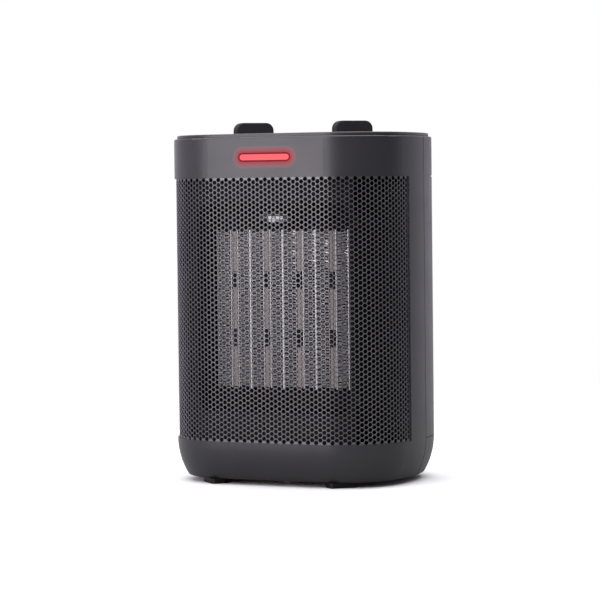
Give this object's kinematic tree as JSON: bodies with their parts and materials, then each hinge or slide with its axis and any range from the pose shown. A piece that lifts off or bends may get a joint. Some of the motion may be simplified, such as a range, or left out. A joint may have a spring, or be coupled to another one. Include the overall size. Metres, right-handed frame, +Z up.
{
  "type": "ceramic space heater",
  "caption": "Compact upright fan heater: rounded housing, curved perforated grille over a ceramic core, two top knobs, light bar, rubber feet, axial fan and tip-over switch.",
  "frame": {"origin": "centre of the footprint, on the floor under the feet", "axes": "-Y is the front with the grille, +X to the right seen from the front's own side, +Z up"},
  "size_m": [0.1654, 0.1206, 0.2334],
  "materials": {
    "dark_plastic": "fine satin moulded plastic",
    "base_plastic": "matt moulded plastic",
    "knob_plastic": "matt moulded plastic",
    "baffle_plastic": "matt heat-resistant plastic",
    "heat_plastic": "matt heat-resistant plastic",
    "switch_plastic": "satin moulded plastic",
    "white_plastic": "satin moulded plastic",
    "foot_rubber": "smooth rubber",
    "gland_rubber": "smooth rubber",
    "grille_steel": "semi-gloss painted perforated steel",
    "red_lens": "glowing red diffuser",
    "lamp_glass": "clear small lamps",
    "shaft_steel": "plated steel",
    "zinc_steel": "zinc plated sheet",
    "tinned_steel": "bright can of the cut-out",
    "lamination_steel": "stacked laminations",
    "aluminium": "rolled sheet",
    "heating_ceramic": "sintered ceramic",
    "brass": "plain brass",
    "copper_winding": "enamelled copper wire"
  },
  "bodies": {
    "heater": {"front_housing": "dark_plastic", "rear_housing": "dark_plastic", "top_panel": "dark_plastic", "base_plate": "base_plastic", "rubber_feet": "foot_rubber", "front_grille": "grille_steel", "indicator_lens": "red_lens", "lamp_holder": "white_plastic", "indicator_lamps": "lamp_glass", "mode_switch": "switch_plastic", "switch_terminals": "brass", "thermostat_body": "zinc_steel", "thermostat_blades": "brass", "switch_plate": "zinc_steel", "baffle": "baffle_plastic", "core_dividers": "aluminium", "core_fins": "aluminium", "contact_plates": "aluminium", "ceramic_stones": "heating_ceramic", "electrodes": "brass", "core_cap_top": "heat_plastic", "core_cap_bottom": "heat_plastic", "core_side_rails": "heat_plastic", "thermal_cutout": "tinned_steel", "thermal_fuse": "heat_plastic", "fan_shroud": "baffle_plastic", "motor_stator": "lamination_steel", "coil_bobbin": "white_plastic", "motor_coil": "copper_winding", "motor_bracket_front": "zinc_steel", "motor_bracket_rear": "zinc_steel", "motor_spacers": "zinc_steel", "motor_bushes": "brass", "tip_switch_body": "switch_plastic", "tip_spring": "shaft_steel", "micro_switch": "switch_plastic", "cord_gland": "gland_rubber", "cord_clamp": "switch_plastic", "clamp_screws": "shaft_steel", "terminal_block": "white_plastic", "housing_screws": "shaft_steel", "base_screws": "shaft_steel", "baffle_screws": "shaft_steel", "shroud_screws": "shaft_steel", "motor_screws": "shaft_steel", "plate_screws": "shaft_steel"},
    "mode_control": {"mode_knob": "knob_plastic", "mode_shaft": "shaft_steel"},
    "thermostat_control": {"thermostat_knob": "knob_plastic", "thermostat_shaft": "shaft_steel"},
    "fan": {"fan_impeller": "heat_plastic", "motor_shaft": "shaft_steel", "motor_rotor": "lamination_steel"},
    "tip_switch": {"tip_plunger": "white_plastic"}
  },
  "joints": [
    {"name": "mode_turn", "type": "hinge", "parent": "heater", "child": "mode_control", "pos_m": [-0.0354, 0, 0.225], "axis": [0, 0, 1], "range_deg": [-270, 0]},
    {"name": "thermostat_turn", "type": "hinge", "parent": "heater", "child": "thermostat_control", "pos_m": [0.0354, 0, 0.225], "axis": [0, 0, 1], "range_deg": [-270, 0]},
    {"name": "fan_spin", "type": "hinge", "parent": "heater", "child": "fan", "pos_m": [0, -0.0074, 0.1135], "axis": [0, 1, 0], "continuous": true},
    {"name": "tip_slide", "type": "slide", "parent": "heater", "child": "tip_switch", "axis": [0, 0, 1], "range_m": [-0.004, 0.0006], "stiffness_N_per_m": 150, "springref_m": -0.006, "deforming": ["tip_spring"]}
  ]
}
